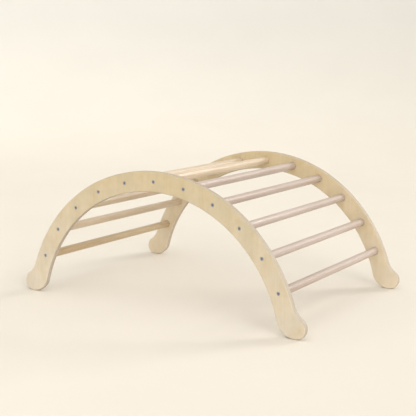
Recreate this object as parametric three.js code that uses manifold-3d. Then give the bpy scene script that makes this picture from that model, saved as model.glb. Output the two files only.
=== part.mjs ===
// Low wooden climbing arch: two arched plywood side panels joined by round beech rungs.
//
// Millimetres, +Z up. X runs along the arch and Y across it. The origin is on the floor, under the
// middle of the arch. Both panels follow circular arcs about one centre, which lies below the floor.

import * as THREE from 'three';
import { mergeVertices } from 'three/addons/utils/BufferGeometryUtils.js';
import Module from 'manifold-3d';

const wasm = await Module();
wasm.setup();

// ---- Driving dimensions ------------------------------------------------------------------------

// Arch
const rungCircleRadius = 455; // arc through the rung centres, the middle of the band
const bandWidth = 60; // radial width of a side panel
const arcDrop = 65; // depth of the arc's centre below the floor
const overallWidth = 692; // from one panel's outer face to the other's
const plyThickness = 18;
const edgeChamfer = 2; // stands for the rounded edge of a panel

// Feet
const toeRadius = 30; // round end that points outwards
const toeOverhang = 15; // reach of a toe past the band's outer circle
const footLand = 4; // length of the flat that a foot stands on
const ankleRadius = 70; // hollow curve that leads from the band into the toe

// Rungs
const rungCount = 11;
const rungDiameter = 25;
const rungChamfer = 1;
const lowestRungHeight = 120.5; // centre of an end rung above the floor
const socketDepth = 5; // how far a rung end is let into a panel's inner face

// Connector screws, one through the panel into each rung end
const screwLength = 50;
const headDiameter = 10;
const headRim = 0.8; // straight edge of the countersunk head
const headSink = 0.4; // head below the panel's face
const neckDiameter = 7; // plain neck under the head
const threadDiameter = 6; // plain cylinder in place of the thread
const tipLength = 3;
const tipDiameter = 3;
const hexWidth = 4; // hex socket, across its flats
const hexDepth = 3;

// Fits and facets
const clearance = 0.3; // gap between a piece and the hole it sits in
const boreBeyondTip = 2; // spare depth of a rung's bore past the screw tip
const cutMargin = 1; // how far a cutting tool runs past the face it opens
const chordError = 0.15; // largest distance from a curve to its facets
const rungSides = 24;
const screwSides = 12;

// ---- Sizes that follow -------------------------------------------------------------------------

const outerRadius = rungCircleRadius + bandWidth / 2;
const innerRadius = rungCircleRadius - bandWidth / 2;
const rungRadius = rungDiameter / 2;
const rungLength = overallWidth - 2 * (plyThickness - socketDepth) - 2 * clearance;
const lowestRungAngle = Math.acos((lowestRungHeight + arcDrop) / rungCircleRadius);
const socketFloor = plyThickness - socketDepth; // depth of the socket's floor from the outer face
const rungEnd = socketFloor + clearance; // depth of the rung's end face from the outer face
const coneEnd = headSink + headRim + (headDiameter - neckDiameter) / 2; // 45 degree cone

// ---- Materials ---------------------------------------------------------------------------------

const plywood = () => new THREE.MeshStandardMaterial({
  name: 'birch_plywood', color: 0xe2cca2, roughness: 0.55, metalness: 0, flatShading: true,
});
const beech = () => new THREE.MeshStandardMaterial({
  name: 'beech', color: 0xdfbf9e, roughness: 0.45, metalness: 0, flatShading: true,
});
const darkSteel = () => new THREE.MeshStandardMaterial({
  name: 'dark_steel', color: 0x4b5058, roughness: 0.4, metalness: 0.85, flatShading: true,
});

// ---- Geometry helpers --------------------------------------------------------------------------

// A closed three.js geometry as a solid that can be cut.
function toSolid(geometry) {
  geometry.deleteAttribute('normal');
  geometry.deleteAttribute('uv');
  const merged = mergeVertices(geometry);
  const corners = merged.index.array;
  const triVerts = [];
  for (let i = 0; i < corners.length; i += 3) {
    const [a, b, c] = [corners[i], corners[i + 1], corners[i + 2]];
    if (a !== b && b !== c && c !== a) triVerts.push(a, b, c);
  }
  return new wasm.Manifold(new wasm.Mesh({
    numProp: 3,
    vertProperties: merged.attributes.position.array,
    triVerts: new Uint32Array(triVerts),
  }));
}

// A solid as a three.js geometry.
function toGeometry(solid) {
  const mesh = solid.getMesh();
  const geometry = new THREE.BufferGeometry();
  geometry.setAttribute('position', new THREE.BufferAttribute(mesh.vertProperties, 3));
  geometry.setIndex(new THREE.BufferAttribute(mesh.triVerts, 1));
  geometry.computeVertexNormals();
  return geometry;
}

// A body turned about the Y axis from [radius, height] pairs, lowest first.
function turned(profile, sides) {
  const points = profile.map(([radius, height]) => new THREE.Vector2(radius, height));
  return toSolid(new THREE.LatheGeometry(points, sides));
}

// Points along an arc about a centre, from one angle to another, both ends included.
function arcPoints(centre, radius, from, to) {
  const largestStep = 2 * Math.acos(1 - chordError / radius);
  const steps = Math.ceil(Math.abs(to - from) / largestStep);
  return Array.from({ length: steps + 1 }, (_, i) => {
    const angle = from + ((to - from) * i) / steps;
    return new THREE.Vector2(
      centre.x + radius * Math.cos(angle),
      centre.y + radius * Math.sin(angle),
    );
  });
}

// Where two circles cross: the crossing that is higher up.
function upperCrossing(centreA, radiusA, centreB, radiusB) {
  const between = centreB.clone().sub(centreA);
  const distance = between.length();
  const along = (radiusA ** 2 - radiusB ** 2 + distance ** 2) / (2 * distance);
  const aside = Math.sqrt(radiusA ** 2 - along ** 2);
  const direction = between.normalize();
  const foot = centreA.clone().addScaledVector(direction, along);
  const across = new THREE.Vector2(-direction.y, direction.x);
  if (across.y < 0) across.negate();
  return foot.addScaledVector(across, aside);
}

const angleFrom = (centre, point) => Math.atan2(point.y - centre.y, point.x - centre.x);

// Where rung number i sits, in a panel's plane: x along the arch, y up, about the arc's centre.
function rungCentre(i) {
  const angle = lowestRungAngle * ((2 * i) / (rungCount - 1) - 1);
  return new THREE.Vector2(
    rungCircleRadius * Math.sin(angle),
    rungCircleRadius * Math.cos(angle),
  );
}

// ---- Side panel --------------------------------------------------------------------------------

// One half of the outline, from the crown over the outside, round the foot and back up the inside.
// The ankle arc touches the outer circle and the toe, and the heel arc touches the floor and the
// inner circle.
function halfOutline() {
  const centre = new THREE.Vector2(0, 0);
  const toe = new THREE.Vector2(outerRadius + toeOverhang - toeRadius, arcDrop + toeRadius);
  const ankle = upperCrossing(centre, outerRadius + ankleRadius, toe, toeRadius + ankleRadius);
  const heelX = toe.x - footLand;
  const heelRadius = (heelX ** 2 + arcDrop ** 2 - innerRadius ** 2) / (2 * (innerRadius - arcDrop));
  const heel = new THREE.Vector2(heelX, arcDrop + heelRadius);

  const ankleAngle = angleFrom(centre, ankle);
  const heelAngle = angleFrom(centre, heel);
  const up = Math.PI / 2;
  const down = -Math.PI / 2;
  const turn = 2 * Math.PI;
  return [
    ...arcPoints(centre, outerRadius, up, ankleAngle),
    ...arcPoints(ankle, ankleRadius, ankleAngle + Math.PI, angleFrom(ankle, toe) + turn).slice(1),
    ...arcPoints(toe, toeRadius, angleFrom(toe, ankle), down).slice(1),
    ...arcPoints(heel, heelRadius, down, heelAngle - Math.PI),
    ...arcPoints(centre, innerRadius, heelAngle, up).slice(1),
  ];
}

// Stepped hole for one rung: countersink from the outer face, neck hole, and a blind socket for the
// rung end. Its axis is Y, with the panel's outer face at 0.
function rungHole() {
  const screwPart = turned([
    [0, -socketFloor - cutMargin],
    [neckDiameter / 2 + clearance, -socketFloor - cutMargin],
    [neckDiameter / 2 + clearance, -coneEnd],
    [headDiameter / 2 + clearance, -headSink - headRim],
    [headDiameter / 2 + clearance, cutMargin],
    [0, cutMargin],
  ], screwSides);
  const socket = turned([
    [0, -plyThickness - cutMargin],
    [rungRadius + clearance, -plyThickness - cutMargin],
    [rungRadius + clearance, -socketFloor],
    [0, -socketFloor],
  ], rungSides);
  return screwPart.add(socket);
}

// A panel lies in the XY plane, with its inner face at z = 0 and its outer face towards +z.
function panelGeometry() {
  const half = halfOutline();
  const mirrored = half.slice(1, -1).reverse().map((p) => new THREE.Vector2(-p.x, p.y));
  const blank = new THREE.ExtrudeGeometry(new THREE.Shape([...half, ...mirrored]), {
    depth: plyThickness - 2 * edgeChamfer,
    bevelThickness: edgeChamfer,
    bevelSize: edgeChamfer,
    bevelOffset: -edgeChamfer,
    bevelSegments: 1,
  });
  blank.translate(0, 0, edgeChamfer);
  let panel = toSolid(blank);
  const hole = rungHole().rotate([90, 0, 0]);
  for (let i = 0; i < rungCount; i += 1) {
    const at = rungCentre(i);
    panel = panel.subtract(hole.translate([at.x, at.y, plyThickness]));
  }
  return toGeometry(panel);
}

// ---- Rung --------------------------------------------------------------------------------------

// A rung lies along Y, centred, with a bore in each end for its screw.
function rungGeometry() {
  const end = rungLength / 2;
  const boreDepth = screwLength + headSink - rungEnd + boreBeyondTip;
  const boreRadius = threadDiameter / 2 + clearance;
  let rung = turned([
    [0, -end],
    [rungRadius - rungChamfer, -end],
    [rungRadius, -end + rungChamfer],
    [rungRadius, end - rungChamfer],
    [rungRadius - rungChamfer, end],
    [0, end],
  ], rungSides);
  const bore = turned([
    [0, -boreDepth],
    [boreRadius, -boreDepth],
    [boreRadius, cutMargin],
    [0, cutMargin],
  ], screwSides);
  rung = rung.subtract(bore.translate([0, end, 0]));
  rung = rung.subtract(bore.rotate([180, 0, 0]).translate([0, -end, 0]));
  return toGeometry(rung);
}

// ---- Screw -------------------------------------------------------------------------------------

// A screw lies along Y with its head up: the panel's outer face is at 0, as for the hole. Its neck
// stops at the socket's floor, clear of the rung's end face.
function screwGeometry() {
  const top = -headSink;
  const end = top - screwLength;
  const body = turned([
    [0, end],
    [tipDiameter / 2, end],
    [threadDiameter / 2, end + tipLength],
    [threadDiameter / 2, -socketFloor],
    [neckDiameter / 2, -socketFloor],
    [neckDiameter / 2, -coneEnd],
    [headDiameter / 2, top - headRim],
    [headDiameter / 2, top],
    [0, top],
  ], screwSides);
  const hexCorner = hexWidth / Math.sqrt(3);
  const hex = new THREE.CylinderGeometry(hexCorner, hexCorner, hexDepth + cutMargin, 6);
  hex.translate(0, top + (cutMargin - hexDepth) / 2, 0);
  return toGeometry(body.subtract(toSolid(hex)));
}

// ---- Assembly ----------------------------------------------------------------------------------

const twoDigits = (i) => String(i + 1).padStart(2, '0');

function addMesh(parent, name, geometry, material) {
  const mesh = new THREE.Mesh(geometry, material);
  mesh.name = name;
  parent.add(mesh);
  return mesh;
}

// One side of the arch: its panel and screws, in the panel's own frame. The back side is the front
// side turned half round, so its rungs count the other way.
function sideGroup(side, panel, screw) {
  const group = new THREE.Group();
  addMesh(group, `side_panel_${side}`, panel, plywood());
  for (let i = 0; i < rungCount; i += 1) {
    const at = rungCentre(side === 'front' ? i : rungCount - 1 - i);
    const mesh = addMesh(group, `screw_${side}_${twoDigits(i)}`, screw, darkSteel());
    mesh.position.set(at.x, at.y, plyThickness);
    mesh.rotation.x = Math.PI / 2;
  }
  group.rotation.x = Math.PI / 2;
  group.position.set(0, plyThickness - overallWidth / 2, -arcDrop);
  return group;
}

function climbingArch() {
  const arch = new THREE.Group();
  const panel = panelGeometry();
  const screw = screwGeometry();
  const rung = rungGeometry();

  const front = new THREE.Group();
  front.add(sideGroup('front', panel, screw));
  const back = new THREE.Group();
  back.add(sideGroup('back', panel, screw));
  back.rotation.z = Math.PI;
  arch.add(front, back);

  for (let i = 0; i < rungCount; i += 1) {
    const at = rungCentre(i);
    addMesh(arch, `rung_${twoDigits(i)}`, rung, beech()).position.set(at.x, 0, at.y - arcDrop);
  }
  return arch;
}

export default climbingArch();
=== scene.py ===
# Visual model of a low wooden climbing arch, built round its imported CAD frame.
# Metres, +Z up. X runs along the arch and Y across it. The floor is z = 0.
import math
import random

import bpy
from mathutils import Matrix, Vector
from mathutils.geometry import delaunay_2d_cdt


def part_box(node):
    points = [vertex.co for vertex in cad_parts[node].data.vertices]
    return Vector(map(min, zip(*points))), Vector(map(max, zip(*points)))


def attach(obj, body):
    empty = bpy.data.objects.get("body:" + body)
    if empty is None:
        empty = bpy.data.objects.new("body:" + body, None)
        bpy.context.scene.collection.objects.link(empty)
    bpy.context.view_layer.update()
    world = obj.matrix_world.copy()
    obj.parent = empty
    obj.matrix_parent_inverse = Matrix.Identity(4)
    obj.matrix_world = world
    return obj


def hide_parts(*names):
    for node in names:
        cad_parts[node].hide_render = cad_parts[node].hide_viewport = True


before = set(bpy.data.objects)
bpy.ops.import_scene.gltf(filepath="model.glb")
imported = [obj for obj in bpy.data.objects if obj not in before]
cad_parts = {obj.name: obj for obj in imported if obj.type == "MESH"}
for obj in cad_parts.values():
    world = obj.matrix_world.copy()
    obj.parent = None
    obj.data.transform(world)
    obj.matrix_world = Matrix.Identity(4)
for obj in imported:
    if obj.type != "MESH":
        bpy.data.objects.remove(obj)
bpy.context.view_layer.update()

MM = 0.001

# ---- Sizes read from the frame -----------------------------------------------------------------

SIDES = {"front": -1, "back": 1}  # side name: which way its outer face looks along Y
RUNG_COUNT = sum(name.startswith("rung_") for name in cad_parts)


def middle(node):
    low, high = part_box(node)
    return (low + high) / 2


def circle_through(a, b, c):
    """Centre (x, z) and radius of the circle through three points of the XZ plane."""
    rows = []
    for p, q in ((a, b), (b, c)):
        rows.append((q.x - p.x, q.z - p.z, (q.x**2 + q.z**2 - p.x**2 - p.z**2) / 2))
    (a1, b1, c1), (a2, b2, c2) = rows
    det = a1 * b2 - a2 * b1
    x = (c1 * b2 - c2 * b1) / det
    z = (a1 * c2 - a2 * c1) / det
    return x, z, math.hypot(a.x - x, a.z - z)


panel_low, panel_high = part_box("side_panel_front")
PLY = panel_high.y - panel_low.y
OUTER_FACE = -panel_low.y
rung_middles = [middle(f"rung_{i + 1:02d}") for i in range(RUNG_COUNT)]
ARC_X, ARC_Z, RUNG_CIRCLE = circle_through(*rung_middles[:: RUNG_COUNT // 2])
BAND_OUTER = panel_high.z - ARC_Z
BAND_INNER = 2 * RUNG_CIRCLE - BAND_OUTER
TOE_REACH = panel_high.x - ARC_X
rung_low, rung_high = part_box("rung_01")
RUNG_RADIUS = (rung_high.z - rung_low.z) / 2
RUNG_END = rung_high.y

# Sizes of the shape that the frame's boxes don't give
TOE_RADIUS = 30 * MM
FOOT_LAND = 4 * MM
ANKLE_RADIUS = 70 * MM
ROUND_OVER = 3 * MM  # rounded edge of a panel
FIT = 0.3 * MM  # gap round a rung end or a screw head
SOCKET_DEPTH = 5 * MM
BORE_RADIUS = 3.3 * MM
BORE_DEPTH = 39 * MM

# The connector screw, from its head's top face down
HEAD_RADIUS = 5 * MM
HEAD_RIM = 0.8 * MM
HEAD_SINK = 0.4 * MM
NECK_RADIUS = 3.5 * MM
NECK_LENGTH = 12.6 * MM
THREAD_CORE = 2.4 * MM
THREAD_HEIGHT = 0.8 * MM
THREAD_PITCH = 3 * MM
THREAD_HALF_WIDTH = 0.22  # of the ridge, as a share of the pitch
SCREW_LENGTH = 50 * MM
TIP_LENGTH = 3 * MM
TIP_TAPER = 0.55  # share of its radius that the tip loses
HEX_APOTHEM = 2 * MM
HEX_DEPTH = 3 * MM

# ---- Mesh helpers ------------------------------------------------------------------------------


class Shape:
    """A mesh under construction: points, faces, and the normals that are known exactly."""

    def __init__(self):
        self.points = []
        self.faces = []
        self.face_normals = []  # for each face, a list of corner normals or None

    def ring(self, points):
        first = len(self.points)
        self.points.extend(points)
        return list(range(first, first + len(points)))

    def face(self, corners, normals=None):
        self.faces.append(corners)
        self.face_normals.append(normals)

    def bridge(self, ring_a, ring_b, normals_a=None, normals_b=None):
        """Quads between two closed rings with the same number of points."""
        count = len(ring_a)
        for i in range(count):
            j = (i + 1) % count
            normals = None
            if normals_a:
                normals = [normals_a[i], normals_a[j], normals_b[j], normals_b[i]]
            self.face([ring_a[i], ring_a[j], ring_b[j], ring_b[i]], normals)

    def fan(self, ring, centre):
        """Triangles from a closed ring to one point."""
        tip = self.ring([centre])[0]
        for i in range(len(ring)):
            self.face([ring[i], ring[(i + 1) % len(ring)], tip])

    def reverse(self):
        """Turns every face over."""
        self.faces = [face[::-1] for face in self.faces]
        self.face_normals = [normals and normals[::-1] for normals in self.face_normals]

    def mirror_y(self):
        """Reflects the shape in the XZ plane."""
        flip = Vector((1, -1, 1))
        self.points = [p * flip for p in self.points]
        self.face_normals = [normals and [n * flip for n in normals] for normals in self.face_normals]
        self.reverse()

    def mesh(self, name, material, sharp_degrees=35):
        """A mesh with smooth shading and the normals given."""
        mesh = bpy.data.meshes.new(name)
        mesh.from_pydata([tuple(p) for p in self.points], [], self.faces)
        mesh.validate()
        mesh.polygons.foreach_set("use_smooth", [True] * len(mesh.polygons))
        mesh.set_sharp_from_angle(angle=math.radians(sharp_degrees))
        if any(self.face_normals):
            corner_normals = []
            for face, normals in zip(self.faces, self.face_normals):
                corner_normals.extend(normals or [(0.0, 0.0, 0.0)] * len(face))
            mesh.normals_split_custom_set([tuple(n) for n in corner_normals])
        mesh.materials.append(material)
        return mesh


def add_object(name, mesh):
    """A new object in the scene."""
    piece = bpy.data.objects.new(name, mesh)
    bpy.context.scene.collection.objects.link(piece)
    return piece


def circle(radius, y, sides):
    """Points of a circle round the Y axis."""
    turn = [2 * math.pi * i / sides for i in range(sides)]
    return [Vector((radius * math.cos(t), y, radius * math.sin(t))) for t in turn]


def register(piece, node):
    """Makes a piece ride on the frame and stand for its CAD node."""
    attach(piece, "root")
    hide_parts(node)


# ---- Outline of a side panel -------------------------------------------------------------------


def arc(centre, radius, start, end, sign=1, chord_error=0.006 * MM):
    """(x, z, normal x, normal z) along an arc. sign is -1 where the wood is outside the circle."""
    step = 2 * math.acos(1 - chord_error / radius)
    steps = max(2, math.ceil(abs(end - start) / step))
    found = []
    for i in range(steps + 1):
        angle = start + (end - start) * i / steps
        c, s = math.cos(angle), math.sin(angle)
        found.append((centre[0] + radius * c, centre[1] + radius * s, sign * c, sign * s))
    return found


def upper_crossing(centre_a, radius_a, centre_b, radius_b):
    """The higher of the two points where two circles cross."""
    dx, dz = centre_b[0] - centre_a[0], centre_b[1] - centre_a[1]
    distance = math.hypot(dx, dz)
    along = (radius_a**2 - radius_b**2 + distance**2) / (2 * distance)
    aside = math.sqrt(radius_a**2 - along**2)
    ux, uz = dx / distance, dz / distance
    both = [
        (centre_a[0] + along * ux - s * aside * uz, centre_a[1] + along * uz + s * aside * ux)
        for s in (1, -1)
    ]
    return max(both, key=lambda p: p[1])


def bearing(centre, point):
    return math.atan2(point[1] - centre[1], point[0] - centre[0])


def panel_outline():
    """The closed outline of a panel, as (x, z, normal x, normal z)."""
    centre = (ARC_X, ARC_Z)
    toe = (ARC_X + TOE_REACH - TOE_RADIUS, TOE_RADIUS)
    ankle = upper_crossing(centre, BAND_OUTER + ANKLE_RADIUS, toe, TOE_RADIUS + ANKLE_RADIUS)
    heel_x = toe[0] - FOOT_LAND
    drop = -ARC_Z
    heel_radius = ((heel_x - ARC_X) ** 2 + drop**2 - BAND_INNER**2) / (2 * (BAND_INNER - drop))
    heel = (heel_x, heel_radius)
    up, down = math.pi / 2, -math.pi / 2
    ankle_angle, heel_angle = bearing(centre, ankle), bearing(centre, heel)
    half = arc(centre, BAND_OUTER, up, ankle_angle)
    half += arc(
        ankle, ANKLE_RADIUS, ankle_angle + math.pi, bearing(ankle, toe) + 2 * math.pi, -1
    )[1:]
    half += arc(toe, TOE_RADIUS, bearing(toe, ankle), down)[1:]
    half += arc(heel, heel_radius, down, heel_angle - math.pi)
    half += arc(centre, BAND_INNER, heel_angle, up, -1)[1:]
    mirrored = [(2 * ARC_X - x, z, -nx, nz) for x, z, nx, nz in reversed(half[1:-1])]
    return half + mirrored


# ---- Side panels -------------------------------------------------------------------------------

HOLE_SIDES = 48


def edge_section(steps=7):
    """Section of a panel's edge from outer to inner face: (inset, depth, outward, facing).

    outward and facing are the parts of the normal that point out of the outline and out of the
    outer face."""
    section = []
    for i in range(steps + 1):
        angle = math.pi / 2 * i / steps
        s, c = math.sin(angle), math.cos(angle)
        section.append((ROUND_OVER * (1 - s), ROUND_OVER * (1 - c), s, c))
    return section + [(inset, PLY - depth, s, -c) for inset, depth, s, c in reversed(section)]


def hole_section():
    """Rings of a stepped rung hole from the outer face in, as (radius, depth)."""
    bore = NECK_RADIUS + FIT
    head = HEAD_RADIUS + FIT
    rung = RUNG_RADIUS + FIT
    rim_depth = HEAD_SINK + HEAD_RIM
    edge_break = 0.35 * MM
    floor = PLY - SOCKET_DEPTH
    return [
        (head + edge_break, 0),
        (head + edge_break * 0.3, edge_break * 0.3),
        (head, edge_break),
        (head, rim_depth),
        (bore, rim_depth + HEAD_RADIUS - NECK_RADIUS),
        (bore, floor),
        (rung, floor),
        (rung, PLY - edge_break),
        (rung + edge_break * 0.3, PLY - edge_break * 0.3),
        (rung + edge_break, PLY),
    ]


def cap(shape, loops, facing):
    """Fills a flat face that looks along Y, bounded by its first loop and pierced by the others."""
    corners = [i for loop in loops for i in loop]
    flat = [Vector((shape.points[i].x, shape.points[i].z)) for i in corners]
    edges = []
    first = 0
    for loop in loops:
        count = len(loop)
        edges += [(first + i, first + (i + 1) % count) for i in range(count)]
        first += count
    inside_boundary = 1  # the output that keeps triangles inside the first loop, holes included
    merge_distance = 1e-9
    _, _, triangles, _, _, _ = delaunay_2d_cdt(flat, edges, [], inside_boundary, merge_distance)
    for triangle in triangles:
        if in_hole(triangle, len(loops[0])):
            continue
        face = [corners[i] for i in triangle]
        shape.face(face if facing < 0 else face[::-1], [Vector((0, facing, 0))] * 3)


def in_hole(triangle, outline_count):
    """True for a triangle whose corners are all on one hole's rim."""
    if min(triangle) < outline_count:
        return False
    holes = {(i - outline_count) // HOLE_SIDES for i in triangle}
    return len(holes) == 1


def front_panel():
    """The near panel, with rounded edges, countersunk screw holes and sockets for the rungs."""
    shape = Shape()
    outline = panel_outline()
    rings, normals = [], []
    for inset, depth, outward, facing in edge_section():
        y = depth - OUTER_FACE
        rings.append(shape.ring([Vector((x - nx * inset, y, z - nz * inset)) for x, z, nx, nz in outline]))
        normals.append([Vector((nx * outward, -facing, nz * outward)) for _, _, nx, nz in outline])
    for k in range(len(rings) - 1):
        shape.bridge(rings[k], rings[k + 1], normals[k], normals[k + 1])

    outer_loops, inner_loops = [rings[0]], [rings[-1]]
    for centre in rung_middles:
        axis = Vector((centre.x, 0, centre.z))
        hole = []
        for radius, depth in hole_section():
            hole.append(shape.ring([axis + p for p in circle(radius, depth - OUTER_FACE, HOLE_SIDES)]))
        for ring_a, ring_b in zip(hole, hole[1:]):
            shape.bridge(ring_a, ring_b)
        outer_loops.append(hole[0])
        inner_loops.append(hole[-1])
    cap(shape, outer_loops, -1)
    cap(shape, inner_loops, 1)
    return shape


# ---- Rungs -------------------------------------------------------------------------------------


def rung(centre):
    """A dowel in place, with softened ends and a bore for the screw in each."""
    sides = 72
    softened = 1.0 * MM
    steps = 4
    half = [(BORE_RADIUS, RUNG_END - BORE_DEPTH), (BORE_RADIUS, RUNG_END)]
    for i in range(steps + 1):
        angle = math.pi / 2 * i / steps
        radius = RUNG_RADIUS - softened * (1 - math.sin(angle))
        half.append((radius, RUNG_END - softened * (1 - math.cos(angle))))
    section = [(radius, -y) for radius, y in half] + [(radius, y) for radius, y in reversed(half)]
    shape = Shape()
    axis = Vector((centre.x, 0, centre.z))
    rings = [shape.ring([axis + p for p in circle(radius, y, sides)]) for radius, y in section]
    for ring_a, ring_b in zip(rings, rings[1:]):
        shape.bridge(ring_a, ring_b)
    bore_floor = Vector((0, half[0][1], 0))
    shape.fan(rings[0][::-1], axis - bore_floor)
    shape.fan(rings[-1], axis + bore_floor)
    shape.reverse()
    return shape


# ---- Screws ------------------------------------------------------------------------------------

SCREW_SIDES = 36


def hexagon(apothem, height):
    """A hexagon round the Y axis, with as many points as the screw's circles."""
    points = []
    for i in range(SCREW_SIDES):
        angle = 2 * math.pi * i / SCREW_SIDES
        from_middle = (angle + math.pi / 6) % (math.pi / 3) - math.pi / 6
        radius = apothem / math.cos(from_middle)
        points.append(Vector((radius * math.cos(angle), height, radius * math.sin(angle))))
    return points


def thread_ring(depth, taper):
    """One ring of the threaded shank. The ridge climbs with the angle."""
    points = []
    for i in range(SCREW_SIDES):
        share = i / SCREW_SIDES
        phase = (depth / THREAD_PITCH + share) % 1
        ridge = max(0.0, 1 - abs(phase - 0.5) / THREAD_HALF_WIDTH)
        radius = (THREAD_CORE + THREAD_HEIGHT * ridge) * taper
        angle = 2 * math.pi * share
        points.append(Vector((radius * math.cos(angle), depth, radius * math.sin(angle))))
    return points


def screw():
    """A countersunk connector screw: its head's top is at y = 0 and its shank points along +Y."""
    shape = Shape()
    hex_rim = 0.3 * MM
    loops = [hexagon(HEX_APOTHEM, HEX_DEPTH), hexagon(HEX_APOTHEM, hex_rim)]
    loops.append(hexagon(HEX_APOTHEM + 0.12 * MM, 0.08 * MM))
    loops.append(hexagon(HEX_APOTHEM + hex_rim, 0))
    rounding = 0.4 * MM
    for i in range(5):
        angle = math.pi / 2 * i / 4
        radius = HEAD_RADIUS - rounding * (1 - math.sin(angle))
        loops.append(circle(radius, rounding * (1 - math.cos(angle)), SCREW_SIDES))
    cone = HEAD_RADIUS - NECK_RADIUS
    loops.append(circle(HEAD_RADIUS, HEAD_RIM, SCREW_SIDES))
    loops.append(circle(NECK_RADIUS, HEAD_RIM + cone, SCREW_SIDES))
    loops.append(circle(NECK_RADIUS, NECK_LENGTH - 0.5 * MM, SCREW_SIDES))
    rings_per_turn = 6
    tip_start = SCREW_LENGTH - TIP_LENGTH
    last_ring = SCREW_LENGTH - 0.2 * MM
    depth = NECK_LENGTH
    while depth < last_ring:
        taper = 1 - TIP_TAPER * max(0.0, depth - tip_start) / TIP_LENGTH
        loops.append(thread_ring(depth, taper))
        depth += THREAD_PITCH / rings_per_turn
    rings = [shape.ring(loop) for loop in loops]
    for ring_a, ring_b in zip(rings, rings[1:]):
        shape.bridge(ring_a, ring_b)
    drill_point = 0.7 * MM
    shape.fan(rings[0][::-1], Vector((0, HEX_DEPTH + drill_point, 0)))
    shape.fan(rings[-1], Vector((0, SCREW_LENGTH, 0)))
    shape.reverse()
    return shape


# ---- Materials ---------------------------------------------------------------------------------


class Graph:
    """Short calls for building a material's nodes."""

    def __init__(self, name):
        self.material = bpy.data.materials.new(name)
        self.material.use_nodes = True
        self.tree = self.material.node_tree
        self.shader = self.tree.nodes["Principled BSDF"]

    def plug(self, socket, value):
        if isinstance(value, bpy.types.NodeSocket):
            self.tree.links.new(value, socket)
        else:
            socket.default_value = value

    def add(self, kind, inputs, **settings):
        node = self.tree.nodes.new(kind)
        for key, value in settings.items():
            setattr(node, key, value)
        for key, value in inputs.items():
            self.plug(node.inputs[key], value)
        return node

    def math(self, operation, *values):
        return self.add("ShaderNodeMath", dict(enumerate(values)), operation=operation).outputs[0]

    def vector(self, operation, a, b):
        return self.add("ShaderNodeVectorMath", {0: a, 1: b}, operation=operation).outputs["Vector"]

    def coordinate(self, output):
        return self.add("ShaderNodeTexCoord", {}).outputs[output]

    def split(self, vector):
        return self.add("ShaderNodeSeparateXYZ", {0: vector}).outputs

    def join(self, x, y, z):
        return self.add("ShaderNodeCombineXYZ", {0: x, 1: y, 2: z}).outputs[0]

    def noise(self, vector, scale, detail, roughness=0.5, distortion=0.0):
        """Noise of about 0 to 1, with its own scale per axis."""
        place = self.vector("MULTIPLY", vector, scale)
        inputs = dict(Vector=place, Scale=1.0, Detail=detail, Roughness=roughness, Distortion=distortion)
        return self.add("ShaderNodeTexNoise", inputs).outputs["Fac"]

    def remap(self, value, low, high, to_low=0.0, to_high=1.0, smooth=False):
        inputs = {"Value": value, "From Min": low, "From Max": high, "To Min": to_low, "To Max": to_high}
        kind = "SMOOTHSTEP" if smooth else "LINEAR"
        return self.add("ShaderNodeMapRange", inputs, interpolation_type=kind).outputs["Result"]

    def mix(self, share, a, b, blend="MIX"):
        """Mixes two colours."""
        node = self.add("ShaderNodeMix", {}, data_type="RGBA", blend_type=blend)
        colour_a, colour_b = node.inputs[6], node.inputs[7]
        self.plug(node.inputs[0], share)
        for socket, value in ((colour_a, a), (colour_b, b)):
            self.plug(socket, value if isinstance(value, bpy.types.NodeSocket) else (*value, 1))
        return node.outputs[2]

    def bump(self, height, distance, strength):
        inputs = {"Height": height, "Distance": distance, "Strength": strength}
        self.plug(self.shader.inputs["Normal"], self.add("ShaderNodeBump", inputs).outputs[0])


PLY_LAYERS = 13
BIRCH_DARK = (0.515, 0.421, 0.272)
BIRCH_LIGHT = (0.618, 0.535, 0.402)
BIRCH_GREY = (0.490, 0.450, 0.348)
BIRCH_FLECK = (0.36, 0.23, 0.12)
END_GRAIN_DARK = (0.226, 0.188, 0.172)
END_GRAIN_LIGHT = (0.341, 0.296, 0.278)
GLUE_LINE = (0.22, 0.15, 0.10)
RUBBED_EDGE = (0.66, 0.62, 0.52)
DENTED_EDGE = (0.40, 0.28, 0.17)

# Tints of the sheets, chosen to bring the picture nearer the photo: painted light bounced up from
# the floor at the feet, painted shade at the crown, and tints of the front and back sheets
# Painted light and shade: the colour goes from lit at the feet to shaded at the crown
FOOT_BOUNCE_LIGHT = (1.06, 1.09, 1.20)
CROWN_SHADE = (0.92, 0.89, 0.80)
CROWN_SHADE_HEIGHT = 0.4
FRONT_SHEET_TINT = (1.0, 1.0, 1.0)
BACK_SHEET_TINT = (1.06, 1.03, 0.98)


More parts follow.
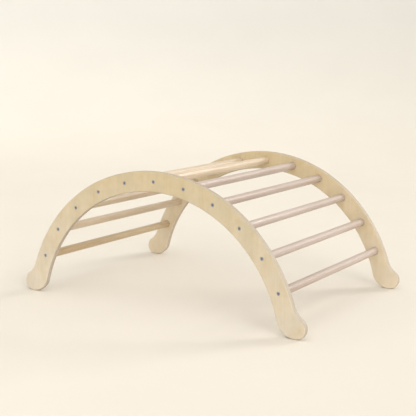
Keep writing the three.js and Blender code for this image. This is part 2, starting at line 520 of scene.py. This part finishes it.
def plywood():
    """Birch plywood: face veneers with upright grain, and a layered edge.

    The layers lie at equal depths, and their grain runs upright and lengthwise in turn. Where a
    surface cuts across a layer's grain it shows darker, open end grain."""
    g = Graph("birch_plywood")
    layer = PLY / PLY_LAYERS
    place = g.coordinate("Object")
    x, y, z = g.split(place)
    nx, ny, nz = g.split(g.coordinate("Normal"))

    from_mid = g.math("ABSOLUTE", g.math("SUBTRACT", g.math("ABSOLUTE", y), OUTER_FACE - PLY / 2))
    depth = g.math("DIVIDE", g.math("SUBTRACT", PLY / 2, from_mid), layer)
    lengthwise = g.math("GREATER_THAN", g.math("MODULO", depth, 2.0), 1.0)
    across_x = g.math("MULTIPLY", nx, nx)
    across_z = g.math("MULTIPLY", nz, nz)
    upright_end = g.math("MULTIPLY", g.math("SUBTRACT", 1.0, lengthwise), across_z)
    end_grain = g.math("MULTIPLY_ADD", lengthwise, across_x, upright_end)

    # Coordinates with the grain of the local layer along their third axis
    wander = g.noise(place, (9, 60, 5), 1.0)
    shifted = g.math("MULTIPLY_ADD", g.math("SUBTRACT", wander, 0.5), 0.03, x)
    upright = g.join(shifted, y, z)
    along = g.join(z, y, shifted)
    grain_mix = g.add("ShaderNodeMix", {0: lengthwise, 4: upright, 5: along}, data_type="VECTOR")
    grain = grain_mix.outputs[1]

    fibres = g.noise(grain, (1500, 900, 22), 3.0, 0.6)
    bands = g.noise(grain, (130, 160, 3.2), 3.0, 0.55, 0.3)
    patches = g.noise(grain, (26, 90, 15), 3.0, 0.5, 0.5)
    flame = g.noise(grain, (60, 90, 55), 2.0, 0.5, 0.4)
    pores = g.noise(grain, (2600, 1800, 90), 2.0, 0.6)

    tone = g.math("MULTIPLY_ADD", fibres, 0.30, g.math("MULTIPLY", bands, 0.42))
    tone = g.math("MULTIPLY_ADD", patches, 0.80, tone)
    tone = g.math("MULTIPLY_ADD", flame, 0.38, tone)
    tone = g.remap(tone, 0.62, 1.28)
    face = g.mix(tone, BIRCH_DARK, BIRCH_LIGHT)
    greyer = g.remap(g.noise(place, (19, 60, 19), 2.0), 0.42, 0.62, 0.0, 0.30)
    face = g.mix(greyer, face, BIRCH_GREY)

    # Painted light: the sheets are paler towards the feet, where the floor bounces light up, and shaded
    # towards the crown; the back one is a little warmer
    gain = g.mix(g.remap(z, 0.0, CROWN_SHADE_HEIGHT), FOOT_BOUNCE_LIGHT, CROWN_SHADE)
    face = g.mix(1.0, face, gain, "MULTIPLY")
    gain = g.mix(g.math("GREATER_THAN", y, 0.0), FRONT_SHEET_TINT, BACK_SHEET_TINT)
    face = g.mix(1.0, face, gain, "MULTIPLY")
    fleck = g.remap(g.noise(grain, (420, 500, 75), 1.0), 0.73, 0.80, 0.0, 0.35)
    face = g.mix(fleck, face, BIRCH_FLECK)

    end_tone = g.remap(g.noise(place, (900, 2200, 900), 3.0, 0.65), 0.3, 0.75)
    end = g.mix(end_tone, END_GRAIN_DARK, END_GRAIN_LIGHT)
    wood = g.mix(g.math("MULTIPLY", end_grain, 0.92), face, end)

    # Dark glue lines between the layers, which only a cut edge shows
    part = g.math("FRACT", depth)
    to_line = g.math("MINIMUM", part, g.math("SUBTRACT", 1.0, part))
    line = g.remap(to_line, 0.03, 0.10, 1.0, 0.0)
    inside = g.math("GREATER_THAN", depth, 0.5)
    line = g.math("MULTIPLY", line, inside)
    wood = g.mix(g.math("MULTIPLY", line, 0.55), wood, GLUE_LINE)

    # Sanded, handled edges: paler and smoother, with a few small dents
    lean = g.math("ABSOLUTE", ny)
    off_edge = g.remap(lean, 0.1, 0.45, smooth=True)
    off_face = g.remap(lean, 0.995, 0.85, smooth=True)
    arris = g.math("MULTIPLY", off_edge, off_face)
    rubbed = g.math("MULTIPLY", arris, g.remap(g.noise(place, (40, 40, 40), 3.0), 0.35, 0.75))
    wood = g.mix(g.math("MULTIPLY", rubbed, 0.18), wood, RUBBED_EDGE)
    dent = g.math("MULTIPLY", arris, g.remap(g.noise(place, (210, 210, 210), 1.0), 0.72, 0.80))
    wood = g.mix(g.math("MULTIPLY", dent, 0.4), wood, DENTED_EDGE)
    g.plug(g.shader.inputs["Base Color"], wood)

    rough = g.remap(g.noise(place, (55, 55, 55), 3.0), 0.3, 0.7, 0.44, 0.56)
    rough = g.math("MULTIPLY_ADD", end_grain, 0.18, rough)
    rough = g.math("MULTIPLY_ADD", rubbed, -0.08, rough)
    g.plug(g.shader.inputs["Roughness"], rough)
    height = g.math("MULTIPLY_ADD", pores, 0.5, fibres)
    height = g.math("MULTIPLY_ADD", line, -1.2, height)
    height = g.math("MULTIPLY_ADD", dent, -1.5, height)
    g.bump(height, 0.12 * MM, 0.6)
    return g.material


BEECH_DARK = (0.465, 0.350, 0.250)
BEECH_LIGHT = (0.725, 0.620, 0.510)
BEECH_RAY = (0.40, 0.22, 0.13)

# Tints of the dowels, chosen the same way: the lowest on the left, the others up to the crown,
# and those past it
YELLOW_BEECH = (0.76, 0.70, 0.52)
CREAM_BEECH = (0.90, 0.88, 0.79)
PINK_BEECH = (0.72, 0.71, 0.77)


def between_rungs(number):
    """The place along X halfway between a rung and the next. The lowest on the left is number 1."""
    return (rung_middles[number - 1].x + rung_middles[number].x) / 2


def beech():
    """Beech dowel, with long growth streaks and the short dark flecks of its rays."""
    g = Graph("beech")
    place = g.coordinate("Object")
    wander = g.noise(place, (14, 3.5, 14), 2.0)
    lifted = g.vector("ADD", place, g.vector("MULTIPLY", g.join(wander, 0.0, wander), (0.03, 0, 0.02)))
    streaks = g.noise(lifted, (420, 5, 420), 3.0, 0.55)
    fine = g.noise(lifted, (1700, 30, 1700), 3.0, 0.6)
    slow = g.noise(place, (9, 2.2, 9), 2.0)
    tone = g.math("MULTIPLY_ADD", fine, 0.35, g.math("MULTIPLY", streaks, 0.8))
    tone = g.math("MULTIPLY_ADD", slow, 0.6, tone)
    tone = g.remap(tone, 0.58, 1.22)
    wood = g.mix(tone, BEECH_DARK, BEECH_LIGHT)
    x = g.split(place)[0]
    crown = (RUNG_COUNT + 1) // 2
    tint = g.mix(g.math("GREATER_THAN", x, between_rungs(1)), YELLOW_BEECH, CREAM_BEECH)
    tint = g.mix(g.math("GREATER_THAN", x, between_rungs(crown)), tint, PINK_BEECH)
    wood = g.mix(1.0, wood, tint, "MULTIPLY")
    rays = g.remap(g.noise(place, (1300, 260, 1300), 1.0), 0.62, 0.72)
    wood = g.mix(g.math("MULTIPLY", rays, 0.32), wood, BEECH_RAY)
    g.plug(g.shader.inputs["Base Color"], wood)
    rough = g.remap(g.noise(place, (90, 20, 90), 3.0), 0.3, 0.7, 0.32, 0.44)
    g.shader.inputs["Coat Weight"].default_value = 0.30
    g.shader.inputs["Coat Roughness"].default_value = 0.22
    g.plug(g.shader.inputs["Roughness"], rough)
    height = g.math("MULTIPLY_ADD", rays, -0.5, fine)
    g.bump(height, 0.08 * MM, 0.6)
    return g.material


STEEL_DARK = (0.25, 0.29, 0.36)
STEEL_LIGHT = (0.39, 0.43, 0.52)
STEEL_RIM = (0.60, 0.63, 0.68)


def dark_steel():
    """Blued steel screw: dark, with fine turning marks and rubbed rims."""
    g = Graph("dark_steel")
    place = g.coordinate("Object")
    x, _, z = g.split(place)
    radius = g.math("SQRT", g.math("ADD", g.math("MULTIPLY", x, x), g.math("MULTIPLY", z, z)))
    marks = g.noise(g.join(radius, 0.0, 0.0), (9000, 1, 1), 2.0)
    stain = g.noise(place, (700, 700, 700), 3.0)
    steel = g.mix(g.remap(stain, 0.3, 0.7), STEEL_DARK, STEEL_LIGHT)
    rim = g.remap(radius, HEAD_RADIUS - 0.5 * MM, HEAD_RADIUS - 0.1 * MM, smooth=True)
    steel = g.mix(g.math("MULTIPLY", rim, 0.35), steel, STEEL_RIM)
    g.plug(g.shader.inputs["Base Color"], steel)
    g.shader.inputs["Metallic"].default_value = 0.9
    g.plug(g.shader.inputs["Roughness"], g.remap(marks, 0.3, 0.7, 0.28, 0.45))
    g.bump(marks, 0.01 * MM, 0.5)
    return g.material


# ---- Studio ------------------------------------------------------------------------------------

FLOOR_RADIUS = 3.2
SWEEP_RADIUS = 2.8
WALL_TOP = 4.0

FLOOR_PAPER = (0.72, 0.67, 0.59)
# Painted shade: the wall paper is darker than the floor paper
SHADED_WALL_PAPER = (0.59, 0.57, 0.52)
SHADED_WALL_HEIGHT = 1.0  # the painted wall shade is full from here up


def studio_paper():
    """Plain pale paper, a little mottled, with shade painted on it darker up the wall."""
    g = Graph("studio_paper")
    place = g.coordinate("Object")
    # Painted shade: the colour darkens from the floor paper to the shaded wall paper going up
    height = g.remap(g.split(place)[2], 0.0, SHADED_WALL_HEIGHT)
    colour = g.mix(height, FLOOR_PAPER, SHADED_WALL_PAPER)
    mottle = g.remap(g.noise(place, (1.9, 1.9, 1.9), 5.0, 0.6), 0.25, 0.75, 0.985, 1.015)
    colour = g.mix(1.0, colour, g.join(mottle, mottle, mottle), "MULTIPLY")
    g.plug(g.shader.inputs["Base Color"], colour)
    g.shader.inputs["Roughness"].default_value = 0.9
    g.shader.inputs["Specular IOR Level"].default_value = 0.1
    g.bump(g.noise(place, (260, 260, 260), 3.0), 0.2 * MM, 0.4)
    return g.material


def studio_shell():
    """A pale floor that sweeps up into a round wall, so that no horizon shows from any side."""
    sides = 96
    floor_rings = 4
    sweep_steps = 16
    shape = Shape()
    section = [(FLOOR_RADIUS * (i + 1) / floor_rings, 0.0) for i in range(floor_rings)]
    for i in range(1, sweep_steps + 1):
        angle = math.pi / 2 * i / sweep_steps
        section.append((FLOOR_RADIUS + SWEEP_RADIUS * math.sin(angle), SWEEP_RADIUS * (1 - math.cos(angle))))
    section.append((FLOOR_RADIUS + SWEEP_RADIUS, WALL_TOP))
    rings = []
    for radius, height in section:
        turn = [2 * math.pi * i / sides for i in range(sides)]
        rings.append(shape.ring([Vector((radius * math.cos(t), radius * math.sin(t), height)) for t in turn]))
    for ring_a, ring_b in zip(rings, rings[1:]):
        shape.bridge(ring_a, ring_b)
    shape.fan(rings[0][::-1], Vector((0, 0, 0)))
    shape.reverse()
    shell = add_object("studio_floor", shape.mesh("studio_floor", studio_paper(), sharp_degrees=60))
    shell.visible_shadow = False  # lets in the lights that stand outside it


def add_light(name, light, colour, place, aim):
    """Places a light. Camera rays don't see it."""
    light.color = [c / max(colour) for c in colour]
    lamp = bpy.data.objects.new(name, light)
    lamp.location = place
    lamp.rotation_euler = (Vector(aim) - Vector(place)).to_track_quat("-Z", "Y").to_euler()
    lamp.visible_camera = False
    bpy.context.scene.collection.objects.link(lamp)


def far_light(name, azimuth, elevation, spread, colour):
    """A distant light as wide as spread, all in degrees. The azimuth is from +X towards +Y."""
    light = bpy.data.lights.new(name, "SUN")
    light.angle = math.radians(spread)
    light.energy = max(colour)
    a, e = math.radians(azimuth), math.radians(elevation)
    source = Vector((math.cos(a) * math.cos(e), math.sin(a) * math.cos(e), math.sin(e)))
    add_light(name, light, colour, 10 * source, (0, 0, 0))


def softbox(name, place, aim, size, colour):
    """A square area light. The colour is in watts."""
    light = bpy.data.lights.new(name, "AREA")
    light.shape = "SQUARE"
    light.size = size
    light.energy = max(colour)
    add_light(name, light, colour, place, aim)


SKY_COLOUR = (1.0, 0.99, 0.97, 1)
SKY_STRENGTH = 0.74


def studio_lights():
    """Soft light from every side, strongest from the right."""
    far_light("front", -60, 15, 60, (0.98, 0.965, 0.935))
    far_light("left", 180, 35, 60, (0.42, 0.41, 0.40))
    far_light("right", -20, 35, 60, (0.78, 0.79, 0.81))
    far_light("right_low", -32, 16, 27, (1.24, 1.26, 1.30))
    far_light("window", 60, 26, 24, (1.38, 1.36, 1.33))
    softbox("key", (0.1, -1.2, 2.5), (0, 0, 0.1), 1.7, (12, 11.6, 11.2))
    world = bpy.data.worlds.new("studio_sky")
    world.use_nodes = True
    background = world.node_tree.nodes["Background"]
    background.inputs["Color"].default_value = SKY_COLOUR
    background.inputs["Strength"].default_value = SKY_STRENGTH
    bpy.context.scene.world = world


# The camera's place, turn and lens were fitted to the photo
CAMERA_PLACE = Vector((1.5953, -2.5965, 0.7838))
CAMERA_YAW = math.radians(32.024)
CAMERA_PITCH = math.radians(9.636)
CAMERA_ROLL = math.radians(0.735)
CAMERA_LENS = 83.364  # mm
SENSOR_WIDTH = 36  # mm


def camera():
    """A long-lens view from the front right, a little above the arch, tilted by under a degree."""
    yaw, pitch, roll = CAMERA_YAW, CAMERA_PITCH, CAMERA_ROLL
    forward = Vector((-math.sin(yaw) * math.cos(pitch), math.cos(yaw) * math.cos(pitch), -math.sin(pitch)))
    level = Vector((math.cos(yaw), math.sin(yaw), 0))
    upward = level.cross(forward)
    right = level * math.cos(roll) + upward * math.sin(roll)
    up = upward * math.cos(roll) - level * math.sin(roll)
    lens = bpy.data.cameras.new("camera")
    lens.sensor_width = SENSOR_WIDTH
    lens.lens = CAMERA_LENS
    lens.clip_end = 50
    view = bpy.data.objects.new("camera", lens)
    turn = Matrix((right, up, -forward)).transposed()
    view.matrix_world = Matrix.Translation(CAMERA_PLACE) @ turn.to_4x4()
    bpy.context.scene.collection.objects.link(view)
    bpy.context.scene.camera = view


# ---- Assembly ----------------------------------------------------------------------------------


def build_arch():
    ply, dowel = plywood(), beech()
    panel = front_panel()
    for side in SIDES:
        node = f"side_panel_{side}"
        register(add_object(f"{node}_visual", panel.mesh(node, ply)), node)
        panel.mirror_y()
    for i, centre in enumerate(rung_middles):
        node = f"rung_{i + 1:02d}"
        register(add_object(f"{node}_visual", rung(centre).mesh(node, dowel)), node)
    screw_mesh = screw().mesh("screw", dark_steel())
    chance = random.Random(5)
    for side, facing in SIDES.items():
        for i in range(RUNG_COUNT):
            node = f"screw_{side}_{i + 1:02d}"
            piece = add_object(f"{node}_visual", screw_mesh)
            low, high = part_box(node)
            centre = middle(node)
            head_y = low.y if facing < 0 else high.y
            half_turn = Matrix.Rotation(math.pi if facing > 0 else 0.0, 4, "Z")
            spin = Matrix.Rotation(chance.uniform(0, math.pi / 3), 4, "Y")
            piece.matrix_world = Matrix.Translation((centre.x, head_y, centre.z)) @ half_turn @ spin
            register(piece, node)


camera()
build_arch()
studio_shell()
studio_lights()
bpy.context.scene.view_settings.view_transform = "Standard"
